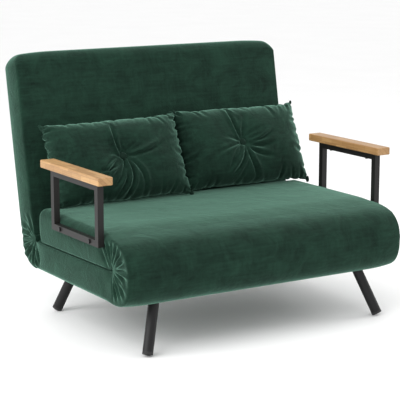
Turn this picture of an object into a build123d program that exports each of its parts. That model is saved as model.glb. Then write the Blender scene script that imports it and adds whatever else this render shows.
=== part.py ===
from build123d import *
import os
from math import cos, radians, sin, sqrt

# Futon sofa bed: a padded strip in three hinged sections, folded into a two-seat sofa.
# Millimetres. +X is to the right of someone facing the sofa, -Y is its front, +Z is up.
# The origin is on the floor under the middle of the whole object.

# Driving dimensions of the padded strip
PAD_WIDTH = 1120
BASE_BOTTOM, BASE_TOP = 168, 288
SEAT_BOTTOM, SEAT_TOP = 292, 395
SEAT_REAR_GAP = 37
BACK_THICK, BACK_LENGTH = 96, 655
BACK_LEAN = 10.5
FOLD_SPAN = 578
FOLD_FRONT = (-347.9, 295.5)
FOLD_REAR = (FOLD_FRONT[0] + FOLD_SPAN, 290)

# Padding
COVER = 8
PAD_EDGE, SEAT_EDGE, BACK_CORNER = 16, 26, 42
FOLD_CLEAR = 1
ROLL_DEPTH = 118.5
BACK_SET = 3
HEEL_ANGLE, HEEL_BULGE = 48, 113

# Steel section frames and slats
TUBE, TUBE_WALL = 25, 1.5
FRAME_HALF = 548
SLAT_WIDE, SLAT_THICK, SLAT_INSET = 60, 8, 6
BASE_FRAME_Z = 176
SEAT_FRAME_Z = 350.5
BACK_FRAME_DEPTH = 40

# Fold hinges
HINGE_X = 480
LEAF_WIDTH, LEAF_THICK, LEAF_SET = 44, 5, 4
KNUCKLE_R, KNUCKLE_MID, KNUCKLE_GAP = 10, 14, 0.5
HINGE_PIN_R, PIN_HEAD = 4, 3
RUNNING = 0.05
HINGE_ROOM = 15

# Legs
LEG_R, LEG_WALL = 18.25, 2
FOOT_X = 480
FOOT_FRONT, FOOT_REAR = 96, 6
LEG_LEAN_X, LEG_LEAN_Y = 61, 58
LEG_LONG = 196
FLANGE_R, FLANGE_THICK = 23, 5
CAP_HIGH, CAP_PLUG = 8, 14
SCREW_R, SCREW_HEAD_R, SCREW_HEAD, SCREW_OFFSET = 3, 6, 4, 13

# Armrests
ARM_X = 572.5
ARM_TOP = 590
ARM_TUBE = 22
ARM_WOOD_WIDE, ARM_WOOD_LONG, ARM_WOOD_THICK = 55, 427, 27.5
ARM_WOOD_Y = -130.4
ARM_WOOD_EDGE = 4
ARM_POSTS_Y = (-307.4, 35.6)
ARM_RAIL_BOTTOM = 352
ARM_FIXING_INSET = 63
WOOD_SCREW_REACH = 0.7
BOLT_R, BOLT_HEAD_R, BOLT_HEAD = 4, 8, 5
SPACER_R = 10

# Head leg, the stand that folds out behind the backrest
HEAD_LEG_X, HEAD_LEG_R = 400, 11
HEAD_LEG_PIVOT, HEAD_LEG_STAND = 600, 15
HEAD_LEG_BEND = 60
HEAD_LEG_FLOOR = 1
GLIDE_R, GLIDE_LONG = 14, 45
EAR_THICK, EAR_GAP, EAR_R = 3, 0.5, 14

# Pillows
PILLOW_WIDE, PILLOW_HIGH, PILLOW_THICK = 545, 320, 140
PILLOW_LEAN = 24.5
PILLOW_WALL = 0.965
PILLOW_Y, PILLOW_Z = 185.6, 543
PILLOW_LEFT_X, PILLOW_RIGHT_X = -254, 293
BUTTON_R, BUTTON_THICK, BUTTON_SUNK = 14, 6, 14
BUTTON_CLEAR = 2
FILLING_SET = 4
TIE_R = 1.5

HALF = PAD_WIDTH / 2
FRONT = Pos(0, *FOLD_FRONT)
REAR = Pos(0, *FOLD_REAR)
BACK = REAR * Rot(-BACK_LEAN, 0, 0)  # X, depth to the rear, height along the backrest


def block(x, y, z):
    """A box from three (low, high) pairs."""
    size = [high - low for low, high in (x, y, z)]
    middle = [(high + low) / 2 for low, high in (x, y, z)]
    return Pos(*middle) * Box(*size)


def rod(radius, x0, x1):
    """A round bar along X."""
    return Pos((x0 + x1) / 2, 0, 0) * Rot(0, 90, 0) * Cylinder(radius, abs(x1 - x0))


def minus(shape, tools):
    """A shape with each of a list of others cut from it."""
    for tool in tools:
        shape = shape - tool
    return shape


# Padding
def base_outer(inset=0):
    """The base section's outside, its ends cut square at the two folds."""
    y = (FOLD_FRONT[0] + FOLD_CLEAR + inset, FOLD_REAR[0] - FOLD_CLEAR - inset)
    half = HALF - inset
    solid = block((-half, half), y, (BASE_BOTTOM + inset, BASE_TOP - inset))
    sides = [e for e in solid.edges().filter_by(Axis.Y)]
    return fillet(sides, PAD_EDGE - inset / 2)


def seat_outer(inset=0):
    """The seat section's outside: square at the fold, rounded at its rear end."""
    y = (FOLD_FRONT[0] + FOLD_CLEAR + inset, FOLD_REAR[0] - SEAT_REAR_GAP - inset)
    half = HALF - inset
    solid = block((-half, half), y, (SEAT_BOTTOM + inset, SEAT_TOP - inset))
    upright = [e for e in solid.edges().filter_by(Axis.Z) if e.center().Y > 0]
    solid = fillet(upright, SEAT_EDGE)
    rims = [e for e in solid.edges() if e.center().Y > y[0] + 1 and abs(e.tangent_at(0.5).Z) < 0.5]
    return fillet(rims, PAD_EDGE - inset / 2)


def back_outer(inset=0):
    """The backrest's outside in its own frame, with rounded top corners."""
    depth = (BACK_SET + inset, BACK_SET + BACK_THICK - inset)
    height = (FOLD_CLEAR + inset, BACK_LENGTH - inset)
    half = HALF - inset
    solid = block((-half, half), depth, height)
    corners = [e for e in solid.edges().filter_by(Axis.Y) if e.center().Z > height[1] - 1]
    solid = fillet(corners, BACK_CORNER - inset)
    rims = [e for e in solid.edges() if e.center().Z > height[0] + 1 and abs(e.tangent_at(0.5).Y) < 0.5]
    return fillet(rims, PAD_EDGE - inset / 2)


def hinge_room(place):
    """Round notches that keep the padding clear of the hinge knuckles."""
    half = LEAF_WIDTH / 2 + PIN_HEAD + 1
    return [place * rod(HINGE_ROOM, s * HINGE_X - half, s * HINGE_X + half) for s in (-1, 1)]


def front_roll():
    """Round padding that carries the strip round the front fold, from base to seat."""
    y = FOLD_FRONT[0] + FOLD_CLEAR
    middle, radius = (BASE_BOTTOM + SEAT_TOP) / 2, (SEAT_TOP - BASE_BOTTOM) / 2
    bend = y - ROLL_DEPTH + radius
    arc = ThreePointArc((bend, BASE_BOTTOM), (bend - radius, middle), (bend, SEAT_TOP))
    straights = Polyline((bend, SEAT_TOP), (y, SEAT_TOP), (y, BASE_BOTTOM), (bend, BASE_BOTTOM))
    solid = extrude(Plane.YZ * make_face(arc + straights), HALF, both=True)
    ends = [e for e in solid.edges() if abs(e.center().X) > HALF - 1 and e.center().Y < y - 1]
    solid = fillet(ends, PAD_EDGE - 2)
    seat_side = block((-HALF, HALF), (y - 1, y), (BASE_TOP, SEAT_TOP))
    return minus(solid - seat_side, hinge_room(FRONT) + leg_room(-1, -1) + leg_room(1, -1))


def rear_roll():
    """Wedge of padding round the outside of the rear fold, from base to backrest."""
    y, z = FOLD_REAR
    lean, heel = radians(BACK_LEAN), radians(HEEL_ANGLE)
    deep = BACK_SET + BACK_THICK
    low = (y - FOLD_CLEAR, BASE_BOTTOM)
    top = (y - FOLD_CLEAR, z - 4)
    bulge = (y + HEEL_BULGE * cos(heel), z - HEEL_BULGE * sin(heel))
    back_heel = (y + deep * cos(lean), z - deep * sin(lean))
    outline = ThreePointArc(low, bulge, back_heel) + Line(back_heel, (y, z))
    outline += Line((y, z), top) + Line(top, low)
    solid = extrude(Plane.YZ * make_face(outline), HALF - 2, both=True)
    return minus(solid, hinge_room(REAR))


# Steel section frames and their slats
def ring(x, y, z, wide):
    """A flat rectangular ring: the space between a box and the same box drawn in by its bar's width."""
    return block(x, y, z) - block((x[0] + wide, x[1] - wide), (y[0] + wide, y[1] - wide), z)


def tube_ring(x, y, z, wide):
    """A welded ring of square tube: its steel and its solid envelope."""
    envelope = ring(x, y, z, wide)
    bore_x, bore_y, bore_z = [(low + TUBE_WALL, high - TUBE_WALL) for low, high in (x, y, z)]
    return envelope - ring(bore_x, bore_y, bore_z, wide - 2 * TUBE_WALL), envelope


def slats(count, y, z):
    """Sprung slats across a section, resting on its side tubes."""
    step = (y[1] - y[0]) / count
    half = FRAME_HALF - SLAT_INSET
    middles = [y[0] + step * (i + 0.5) for i in range(count)]
    reach = SLAT_WIDE / 2
    return [block((-half, half), (m - reach, m + reach), (z, z + SLAT_THICK)) for m in middles]


# Fold hinges
def leaf(length, outer):
    """A hinge leaf on a section's end: +Y runs into the section, +Z through its thickness.
    The outer leaf has the two end knuckles, the other one the middle knuckle."""
    half, mid = LEAF_WIDTH / 2, KNUCKLE_MID / 2
    strap = block((-half, half), (LEAF_SET, LEAF_SET + LEAF_THICK), (0, length))
    ends, middle = [(-half, -mid - KNUCKLE_GAP), (mid + KNUCKLE_GAP, half)], [(-mid, mid)]
    own, other = (ends, middle) if outer else (middle, ends)
    for x0, x1 in other:
        strap -= rod(KNUCKLE_R + 1, x0 - KNUCKLE_GAP, x1 + KNUCKLE_GAP)
    for x0, x1 in own:
        strap += rod(KNUCKLE_R, x0, x1)
    return strap - rod(HINGE_PIN_R + (0 if outer else RUNNING), -half, half)


def leaf_room(length):
    """The padding's slot for a hinge leaf."""
    half = LEAF_WIDTH / 2
    return block((-half, half), (0, LEAF_SET + LEAF_THICK), (0, length))


def hinge_pin():
    """A pin with a flat head at each end, in the middle of its hinge."""
    half = LEAF_WIDTH / 2
    heads = rod(HINGE_PIN_R + 2.5, -half - PIN_HEAD, -half) + rod(HINGE_PIN_R + 2.5, half, half + PIN_HEAD)
    return rod(HINGE_PIN_R, -half, half) + heads


def at_hinge(fold, side, turn, shape):
    return fold * Pos(side * HINGE_X, 0, 0) * turn * shape


# For each leaf: its fold, how it turns from the leaf's own frame, its length and its kind
TURN = Rot(0, 180, 0)
LEAVES = {
    "front_hinge_base_leaf": (FRONT, TURN, FOLD_FRONT[1] - BASE_FRAME_Z - 2, False),
    "front_hinge_seat_leaf": (FRONT, Rot(0, 0, 0), SEAT_FRAME_Z + TUBE - FOLD_FRONT[1] - 2, True),
    "rear_hinge_base_leaf": (REAR, Rot(180, 0, 0), FOLD_REAR[1] - BASE_FRAME_Z - 2, False),
    "rear_hinge_back_leaf": (REAR, Rot(90 - BACK_LEAN, 0, 0) * TURN, BACK_FRAME_DEPTH + TUBE - 2, True),
}


def leaf_slots(name):
    fold, turn, length, _ = LEAVES[name]
    return [at_hinge(fold, side, turn, leaf_room(length)) for side in (-1, 1)]


# Legs: side -1 is left, end -1 is front
CORNERS = [(side, end) for side in (-1, 1) for end in (-1, 1)]
FLANGE_TOP = BASE_FRAME_Z


def leg_foot(side, end):
    y = FOLD_FRONT[0] - FOOT_FRONT if end < 0 else FOLD_REAR[0] - FOOT_REAR
    return Vector(side * FOOT_X, y, 0)


def leg_rise(side, end):
    """From a leg's foot to the middle of its flange."""
    return Vector(-side * LEG_LEAN_X, -end * LEG_LEAN_Y, FLANGE_TOP)


def leg_bar(side, end, radius, low, high):
    """A round bar on a leg's axis, cut square at two distances from the sole.
    The sole is square to the axis too, so that the leg stands on the sole's lowest edge."""
    axis = leg_rise(side, end).normalized()
    sole_height = LEG_R * sqrt(1 - axis.Z**2)
    start = leg_foot(side, end) + axis * (sole_height / axis.Z + low)
    return Plane(origin=start, z_dir=axis) * extrude(Circle(radius), high - low)


def leg(side, end):
    """A splayed tube that passes through its flange and is welded round it."""
    bore = leg_bar(side, end, LEG_R - LEG_WALL, 0, LEG_LONG + 1)
    return leg_bar(side, end, LEG_R, CAP_HIGH, LEG_LONG) - bore


def foot_cap(side, end):
    """A rubber cap: a sole as wide as the tube and a plug inside it."""
    sole = leg_bar(side, end, LEG_R, 0, CAP_HIGH)
    return sole + leg_bar(side, end, LEG_R - LEG_WALL, CAP_HIGH, CAP_HIGH + CAP_PLUG)


def end_tube_y(end):
    """Middle of the base frame's front or rear tube."""
    inset = FOLD_CLEAR + COVER + TUBE / 2
    return FOLD_FRONT[0] + inset if end < 0 else FOLD_REAR[0] - inset


def flange_screws(side, end):
    """Two screws up through the leg's flange into the base frame."""
    x = (leg_foot(side, end) + leg_rise(side, end)).X
    low, high = FLANGE_TOP - FLANGE_THICK, FLANGE_TOP + TUBE_WALL
    shank = Pos(0, 0, (low + high) / 2) * Cylinder(SCREW_R, high - low)
    head = Pos(0, 0, low - SCREW_HEAD / 2) * Cylinder(SCREW_HEAD_R, SCREW_HEAD)
    return [Pos(x + offset, end_tube_y(end), 0) * (shank + head) for offset in (-SCREW_OFFSET, SCREW_OFFSET)]


def flange_blank(side, end):
    """A plate from the leg to the far side of the frame's tube, rounded about the leg."""
    middle = leg_foot(side, end) + leg_rise(side, end)
    y = (middle.Y, end_tube_y(end) + TUBE / 2)
    z = (FLANGE_TOP - FLANGE_THICK, FLANGE_TOP)
    plate = block((middle.X - FLANGE_R, middle.X + FLANGE_R), y, z)
    return plate + Pos(middle.X, middle.Y, sum(z) / 2) * Cylinder(FLANGE_R, FLANGE_THICK)


def leg_flange(side, end):
    blank = flange_blank(side, end) - leg_bar(side, end, LEG_R, 0, LEG_LONG)
    return minus(blank, flange_screws(side, end))


def leg_room(side, end):
    """The padding's pocket for a leg's top, its flange and its screws."""
    return [leg_bar(side, end, LEG_R, 0, LEG_LONG), flange_blank(side, end)] + flange_screws(side, end)


# Armrests: side -1 is left
ARM_FIXINGS_Y = (ARM_POSTS_Y[0] + ARM_FIXING_INSET, ARM_POSTS_Y[1] - ARM_FIXING_INSET)
ARM_INNER, ARM_OUTER = ARM_X - ARM_TUBE / 2, ARM_X + ARM_TUBE / 2


def at_rail(shape):
    """Two copies of a shape made about X, at the height of the armrest's bottom rail."""
    return [Pos(0, y, ARM_RAIL_BOTTOM + ARM_TUBE / 2) * shape for y in ARM_FIXINGS_Y]


def arm_bolts(side):
    """Two bolts through the armrest's bottom rail and its spacers into the seat frame."""
    shank = rod(BOLT_R, side * (FRAME_HALF - TUBE_WALL), side * ARM_OUTER)
    return at_rail(shank + rod(BOLT_HEAD_R, side * ARM_OUTER, side * (ARM_OUTER + BOLT_HEAD)))


def arm_spacers(side):
    """Sleeves that carry the armrest's rail clear of the padding's side."""
    x = (side * FRAME_HALF, side * ARM_INNER)
    return at_rail(rod(SPACER_R, *x) - rod(BOLT_R, *x))


def spacer_room(side):
    """The padding's holes for the spacers."""
    return at_rail(rod(SPACER_R, side * FRAME_HALF, side * ARM_INNER))


def wood_screws(side):
    """Two screws up through the armrest's top rail into its wooden pad."""
    under = ARM_TOP - ARM_WOOD_THICK - ARM_TUBE
    length = ARM_TUBE + ARM_WOOD_THICK * WOOD_SCREW_REACH
    shank = Pos(0, 0, length / 2) * Cylinder(SCREW_R, length)
    head = Pos(0, 0, -SCREW_HEAD / 2) * Cylinder(SCREW_HEAD_R, SCREW_HEAD)
    return [Pos(side * ARM_X, y, under) * (shank + head) for y in ARM_FIXINGS_Y]


def arm_frame(side):
    """A standing loop of square tube, made flat and turned up about Y."""
    height = ARM_TOP - ARM_WOOD_THICK - ARM_RAIL_BOTTOM
    lying = tube_ring((0, height), ARM_POSTS_Y, (-ARM_TUBE / 2, ARM_TUBE / 2), ARM_TUBE)[0]
    loop = Pos(side * ARM_X, 0, ARM_RAIL_BOTTOM) * Rot(0, -90, 0) * lying
    return minus(loop, arm_bolts(side) + wood_screws(side))


def arm_wood(side):
    half = ARM_WOOD_WIDE / 2
    x = (side * ARM_X - half, side * ARM_X + half)
    y = (ARM_WOOD_Y - ARM_WOOD_LONG / 2, ARM_WOOD_Y + ARM_WOOD_LONG / 2)
    pad = block(x, y, (ARM_TOP - ARM_WOOD_THICK, ARM_TOP))
    return minus(fillet(pad.edges(), ARM_WOOD_EDGE), wood_screws(side))


# Head leg, in the backrest's frame: depth is +Y, height is +Z
STAND_DEPTH = BACK_SET + BACK_THICK + HEAD_LEG_STAND
HEAD_LEG_LONG = FOLD_REAR[1] - STAND_DEPTH - GLIDE_R - HEAD_LEG_FLOOR
PIVOT = Pos(0, STAND_DEPTH, HEAD_LEG_PIVOT)


def head_leg():
    """A U of round tube that hangs from its two pivots."""
    low = -HEAD_LEG_LONG
    points = [(-HEAD_LEG_X, 0, 0), (-HEAD_LEG_X, 0, low), (HEAD_LEG_X, 0, low), (HEAD_LEG_X, 0, 0)]
    path = FilletPolyline(*points, radius=HEAD_LEG_BEND)
    start = Plane(origin=points[0], z_dir=(0, 0, -1))
    tube = sweep(start * Circle(HEAD_LEG_R), path) - sweep(start * Circle(HEAD_LEG_R - TUBE_WALL), path)
    for side in (-1, 1):
        tube += Pos(side * HEAD_LEG_X, 0, 0) * rod(HEAD_LEG_R, -HEAD_LEG_R, HEAD_LEG_R)
        tube -= Pos(side * HEAD_LEG_X, 0, 0) * rod(HINGE_PIN_R + RUNNING, -2 * HEAD_LEG_R, 2 * HEAD_LEG_R)
    return PIVOT * tube


def head_leg_glides():
    """Rubber sleeves on the cross tube, that meet the floor."""
    sleeve = rod(GLIDE_R, -GLIDE_LONG / 2, GLIDE_LONG / 2) - rod(HEAD_LEG_R, -GLIDE_LONG, GLIDE_LONG)
    reach = HEAD_LEG_X - HEAD_LEG_BEND - GLIDE_LONG
    return [PIVOT * Pos(side * reach, 0, -HEAD_LEG_LONG) * sleeve for side in (-1, 1)]


def ear_x():
    return HEAD_LEG_R + EAR_GAP


def head_leg_bracket(side):
    """A clevis on the backrest's rear face, with an ear each side of the tube."""
    inner = ear_x()
    outer = inner + EAR_THICK
    floor = -HEAD_LEG_STAND
    bracket = block((-outer, outer), (floor, floor + EAR_THICK), (-2 * EAR_R, EAR_R))
    for s in (-1, 1):
        middle = s * (inner + outer) / 2
        web = block((middle - EAR_THICK / 2, middle + EAR_THICK / 2), (floor, 0), (-EAR_R, EAR_R))
        bracket += web + rod(EAR_R, s * inner, s * outer)
    return PIVOT * Pos(side * HEAD_LEG_X, 0, 0) * (bracket - rod(HINGE_PIN_R, -outer, outer))


def head_leg_pin(side):
    outer = ear_x() + EAR_THICK
    heads = rod(HINGE_PIN_R + 2, -outer - PIN_HEAD, -outer) + rod(HINGE_PIN_R + 2, outer, outer + PIN_HEAD)
    return PIVOT * Pos(side * HEAD_LEG_X, 0, 0) * (rod(HINGE_PIN_R, -outer, outer) + heads)


# Pillows, each made upright at its own middle: X wide, Y thick, Z high
def lens(width, thick):
    """A pointed oval, width by thick, in the XY plane."""
    left, right = (-width / 2, 0), (width / 2, 0)
    front = ThreePointArc(left, (0, -thick / 2), right)
    return make_face(front + ThreePointArc(right, (0, thick / 2), left))


def pillow_body(scale):
    """The common part of two crossed lens shapes: sharp seams all round and a full middle."""
    wide, high, thick = PILLOW_WIDE * scale, PILLOW_HIGH * scale, PILLOW_THICK * scale
    across = extrude(lens(wide, thick), high / 2, both=True)
    upright = extrude(Plane.YZ * Rot(0, 0, 90) * lens(high, thick), wide / 2, both=True)
    return across & upright


def pillow_tie():
    """Front and rear buttons joined by the tie that pulls them into the pillow."""
    seat = PILLOW_THICK / 2 - BUTTON_SUNK
    along = Rot(90, 0, 0)
    tie = along * Cylinder(TIE_R, 2 * seat)
    for s in (-1, 1):
        tie += Pos(0, s * (seat + BUTTON_THICK / 2), 0) * along * Cylinder(BUTTON_R, BUTTON_THICK)
    return tie


def button_wells():
    """The dimples that the buttons sit in."""
    well = Rot(90, 0, 0) * Cylinder(BUTTON_R + BUTTON_CLEAR, 2 * BUTTON_SUNK)
    return [Pos(0, s * PILLOW_THICK / 2, 0) * well for s in (-1, 1)]


def pillow(x):
    """A pillow's cover, filling and tied buttons, in place."""
    place = Pos(x, PILLOW_Y, PILLOW_Z) * Rot(-PILLOW_LEAN, 0, 0)
    tie = pillow_tie()
    whole = minus(pillow_body(1), button_wells())
    filling = minus(pillow_body(PILLOW_WALL), [Rot(90, 0, 0) * Cylinder(TIE_R, PILLOW_THICK)])
    half = PILLOW_THICK / 2 - BUTTON_SUNK - FILLING_SET
    filling = filling & block((-PILLOW_WIDE, PILLOW_WIDE), (-half, half), (-PILLOW_HIGH, PILLOW_HIGH))
    return {"cover": place * (whole - filling - tie), "filling": place * filling, "buttons": place * tie}


def section(outer, inner, envelope, steel, parts, openings):
    """A section's cover, foam, frame and slats, each clear of the others."""
    cover = minus(outer - inner - envelope, openings)
    foam = minus(inner - envelope, openings + parts)
    return {"cover": cover, "foam": foam, "frame": steel, "slats": Compound(children=parts)}


def base_section():
    half = FRAME_HALF
    y = (FOLD_FRONT[0] + FOLD_CLEAR + COVER, FOLD_REAR[0] - FOLD_CLEAR - COVER)
    steel, envelope = tube_ring((-half, half), y, (BASE_FRAME_Z, BASE_FRAME_Z + TUBE), TUBE)
    screws = [screw for corner in CORNERS for screw in flange_screws(*corner)]
    openings = hinge_room(FRONT) + hinge_room(REAR)
    openings += [room for corner in CORNERS for room in leg_room(*corner)]
    openings += leaf_slots("front_hinge_base_leaf") + leaf_slots("rear_hinge_base_leaf")
    parts = slats(6, (y[0] + TUBE, y[1] - TUBE), BASE_FRAME_Z + TUBE)
    made = section(base_outer(), base_outer(COVER), envelope, minus(steel, screws), parts, openings)
    return made, screws


def seat_section():
    half = FRAME_HALF
    y = (FOLD_FRONT[0] + FOLD_CLEAR + COVER, FOLD_REAR[0] - SEAT_REAR_GAP - 2 * COVER)
    steel, envelope = tube_ring((-half, half), y, (SEAT_FRAME_Z, SEAT_FRAME_Z + TUBE), TUBE)
    bolts = [b for side in (-1, 1) for b in arm_bolts(side)]
    openings = hinge_room(FRONT) + leaf_slots("front_hinge_seat_leaf")
    openings += [r for side in (-1, 1) for r in spacer_room(side)]
    parts = slats(6, (y[0] + TUBE, y[1] - TUBE), SEAT_FRAME_Z - SLAT_THICK)
    return section(seat_outer(), seat_outer(COVER), envelope, minus(steel, bolts), parts, openings)


def back_section():
    """Built in the backrest's own frame, where the tubes' ring stands on edge."""
    half = FRAME_HALF
    height = (FOLD_CLEAR + COVER, BACK_LENGTH - 2 * COVER - 10)
    flat = tube_ring((-half, half), height, (-BACK_FRAME_DEPTH - TUBE, -BACK_FRAME_DEPTH), TUBE)
    steel, envelope = [Rot(90, 0, 0) * shape for shape in flat]
    lying = slats(7, (height[0] + TUBE, height[1] - TUBE), -BACK_FRAME_DEPTH)
    parts = [BACK * Rot(90, 0, 0) * slat for slat in lying]
    openings = hinge_room(REAR) + leaf_slots("rear_hinge_back_leaf")
    outer, inner = BACK * back_outer(), BACK * back_outer(COVER)
    return section(outer, inner, BACK * envelope, BACK * steel, parts, openings)


def build():
    nodes = {}
    base, screws = base_section()
    for name, made in (("base", base), ("seat", seat_section()), ("backrest", back_section())):
        nodes.update({f"{name}_{piece}": shape for piece, shape in made.items()})
    nodes["front_roll"] = front_roll()
    nodes["rear_roll"] = rear_roll()

    for side, side_name in ((-1, "left"), (1, "right")):
        for name, (fold, turn, length, outer) in LEAVES.items():
            nodes[f"{side_name}_{name}"] = at_hinge(fold, side, turn, leaf(length, outer))
        nodes[f"{side_name}_front_hinge_pin"] = at_hinge(FRONT, side, Rot(0, 0, 0), hinge_pin())
        nodes[f"{side_name}_rear_hinge_pin"] = at_hinge(REAR, side, Rot(0, 0, 0), hinge_pin())
        for end, end_name in ((-1, "front"), (1, "rear")):
            nodes[f"{end_name}_{side_name}_leg"] = leg(side, end)
            nodes[f"{end_name}_{side_name}_foot_cap"] = foot_cap(side, end)
            nodes[f"{end_name}_{side_name}_leg_flange"] = leg_flange(side, end)
        nodes[f"{side_name}_armrest_frame"] = arm_frame(side)
        nodes[f"{side_name}_armrest_wood"] = arm_wood(side)
        nodes[f"{side_name}_head_leg_bracket"] = BACK * head_leg_bracket(side)
        nodes[f"{side_name}_head_leg_pin"] = BACK * head_leg_pin(side)

    nodes["leg_flange_screws"] = Compound(children=screws)
    for name, make in (("bolts", arm_bolts), ("spacers", arm_spacers), ("wood_screws", wood_screws)):
        nodes[f"armrest_{name}"] = Compound(children=make(-1) + make(1))
    nodes["head_leg_tube"] = BACK * head_leg()
    nodes["head_leg_glides"] = Compound(children=[BACK * glide for glide in head_leg_glides()])

    for name, x in (("left_pillow", PILLOW_LEFT_X), ("right_pillow", PILLOW_RIGHT_X)):
        nodes.update({f"{name}_{piece}": shape for piece, shape in pillow(x).items()})
    return nodes


def main():
    os.makedirs("parts", exist_ok=True)
    for name, shape in build().items():
        export_step(shape, f"parts/{name}.step")


main()
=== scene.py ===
"""Looks of the two-seat futon sofa bed: velvet padding, pillows, wood, steel, light and camera.

Everything is in metres in the part's own frame: +X right, -Y front, +Z up, origin on the floor.
"""
import math

import bmesh
import bpy
import numpy as np
from mathutils import Matrix, Vector


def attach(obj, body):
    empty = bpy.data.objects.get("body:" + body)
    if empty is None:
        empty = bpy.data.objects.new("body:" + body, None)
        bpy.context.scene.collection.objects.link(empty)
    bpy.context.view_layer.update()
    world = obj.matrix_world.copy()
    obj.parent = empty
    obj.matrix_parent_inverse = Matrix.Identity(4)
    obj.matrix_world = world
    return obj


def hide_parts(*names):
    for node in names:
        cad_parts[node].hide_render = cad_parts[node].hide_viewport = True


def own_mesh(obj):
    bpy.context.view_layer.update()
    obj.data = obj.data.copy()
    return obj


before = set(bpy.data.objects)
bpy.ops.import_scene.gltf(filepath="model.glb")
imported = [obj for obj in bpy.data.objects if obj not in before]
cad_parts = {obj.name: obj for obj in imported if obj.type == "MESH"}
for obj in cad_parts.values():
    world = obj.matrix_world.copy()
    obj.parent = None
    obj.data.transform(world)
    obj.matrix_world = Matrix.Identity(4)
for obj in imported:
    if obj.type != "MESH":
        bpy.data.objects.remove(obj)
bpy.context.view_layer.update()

# The padded strip's outline, as in part.py. The backrest's padding is 6 mm fuller than its CAD solid.
HALF = 0.560
BASE_LOW, BASE_HIGH = 0.168, 0.288
SEAT_LOW, SEAT_HIGH = 0.292, 0.395
SEAT_END = 0.1931
FOLD_CLEAR = 0.001
FRONT_Y, FRONT_Z = -0.3479, 0.2955
REAR_Y, REAR_Z = 0.2301, 0.290
LEAN = math.radians(10.5)
BACK_SET, BACK_THICK, BACK_LENGTH = 0.003, 0.102, 0.655
BACK_CORNER, SEAT_CORNER = 0.042, 0.030

# The front roll is a circle about a point just ahead of the fold, and the rear roll runs through three radii
SPLIT_Z = 0.281
ROLL_AHEAD, ROLL_Z, ROLL_R = 0.005, 0.2815, 0.1136
HEEL_R = (0.122, 0.121, 0.106)

# Angles about a fold turn from straight ahead up and over to the rear
DOWN, AHEAD, UP = -math.pi / 2, 0.0, math.pi / 2
BACK_NORMAL = math.pi + LEAN
DOWN_BEHIND = 3 * math.pi / 2

# Pillows: size, place of the middle, and turns
PILLOW_WIDE, PILLOW_HIGH, PILLOW_THICK = 0.556, 0.320, 0.140
PILLOW_LEAN = math.radians(24.5)
PILLOW_TURN = math.radians(-2.2)
PILLOW_TILT = {"left": 0.0, "right": math.radians(1.0)}
PILLOWS = {"left": (-0.246, 0.1776, 0.543), "right": (0.293, 0.1856, 0.549)}


# ---------------------------------------------------------------- meshes
def stations(low, high, step, fine, ends=(), reach=0.0):
    """Coordinates from low to high, closer together within reach of the named ends."""
    marks = [low]
    if "low" in ends:
        marks.append(low + reach)
    if "high" in ends:
        marks.append(high - reach)
    marks.append(high)
    parts = []
    for a, b in zip(marks, marks[1:]):
        near = (a == low and "low" in ends) or (b == high and "high" in ends)
        count = max(1, round((b - a) / (fine if near else step)))
        parts.append(np.linspace(a, b, count + 1)[:-1])
    return np.concatenate(parts + [[high]])


def box_grid(*lines):
    """Points and quads of a closed box whose faces are divided at three lists of stations."""
    counts = np.array([len(line) for line in lines])
    quads = []
    for axis in range(3):
        a, b = [k for k in range(3) if k != axis]
        i, j = np.meshgrid(np.arange(counts[a] - 1), np.arange(counts[b] - 1), indexing="ij")
        for end in (0, counts[axis] - 1):
            corners = []
            for di, dj in ((0, 0), (1, 0), (1, 1), (0, 1)):
                cell = np.full((3,) + i.shape, end)
                cell[a], cell[b] = i + di, j + dj
                corners.append(np.ravel_multi_index(tuple(cell), counts).ravel())
            quads.append(np.stack(corners, -1))
    used, quads = np.unique(np.concatenate(quads), return_inverse=True)
    places = np.unravel_index(used, counts)
    points = np.stack([np.asarray(line)[place] for line, place in zip(lines, places)], -1)
    return points, quads.reshape(-1, 4)


def mesh_object(name, points, faces, cuts=()):
    """A smooth closed mesh object. cuts are masks of the points that lie on a flat cut face."""
    mesh = bpy.data.meshes.new(name)
    mesh.from_pydata(points.tolist(), [], faces.tolist())
    work = bmesh.new()
    work.from_mesh(mesh)
    bmesh.ops.recalc_face_normals(work, faces=work.faces)
    work.to_mesh(mesh)
    work.free()
    mesh.polygons.foreach_set("use_smooth", [True] * len(mesh.polygons))
    crease(mesh, cuts)
    return new_object(name, mesh)


def new_object(name, data):
    """Links a new object with the data given to the scene."""
    made = bpy.data.objects.new(name, data)
    bpy.context.scene.collection.objects.link(made)
    return made


def crease(mesh, cuts):
    """Sharp, creased borders round the flat cut faces, so that two pieces meet there without a groove."""
    work = bmesh.new()
    work.from_mesh(mesh)
    layer = work.edges.layers.float.new("crease_edge")
    for cut in cuts:
        for edge in work.edges:
            inside = [all(cut[v.index] for v in face.verts) for face in edge.link_faces]
            if any(inside) and not all(inside):
                edge[layer] = 1.0
                edge.smooth = False
    work.to_mesh(mesh)
    work.free()


def subdivide(obj):
    """Smooths a mesh by one level of subdivision."""
    modifier = obj.modifiers.new("subdivision", "SUBSURF")
    modifier.levels = modifier.render_levels = 1
    apply_modifiers(obj)


def apply_modifiers(obj):
    """Bakes an object's modifiers into its mesh."""
    graph = bpy.context.evaluated_depsgraph_get()
    mesh = bpy.data.meshes.new_from_object(obj.evaluated_get(graph))
    obj.modifiers.clear()
    old, obj.data = obj.data, mesh
    bpy.data.meshes.remove(old)


def smooth_step(low, high, value):
    """Rises from 0 at low to 1 at high, level at both ends."""
    t = np.clip((value - low) / (high - low), 0, 1)
    return t * t * (3 - 2 * t)


def profile(across, bumps):
    """Cross-section of a fold from each bump's height, place and sharpness. across is in fold widths."""
    return sum(height * np.exp(-sharp * (across - place) ** 2) for height, place, sharp in bumps)


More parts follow.
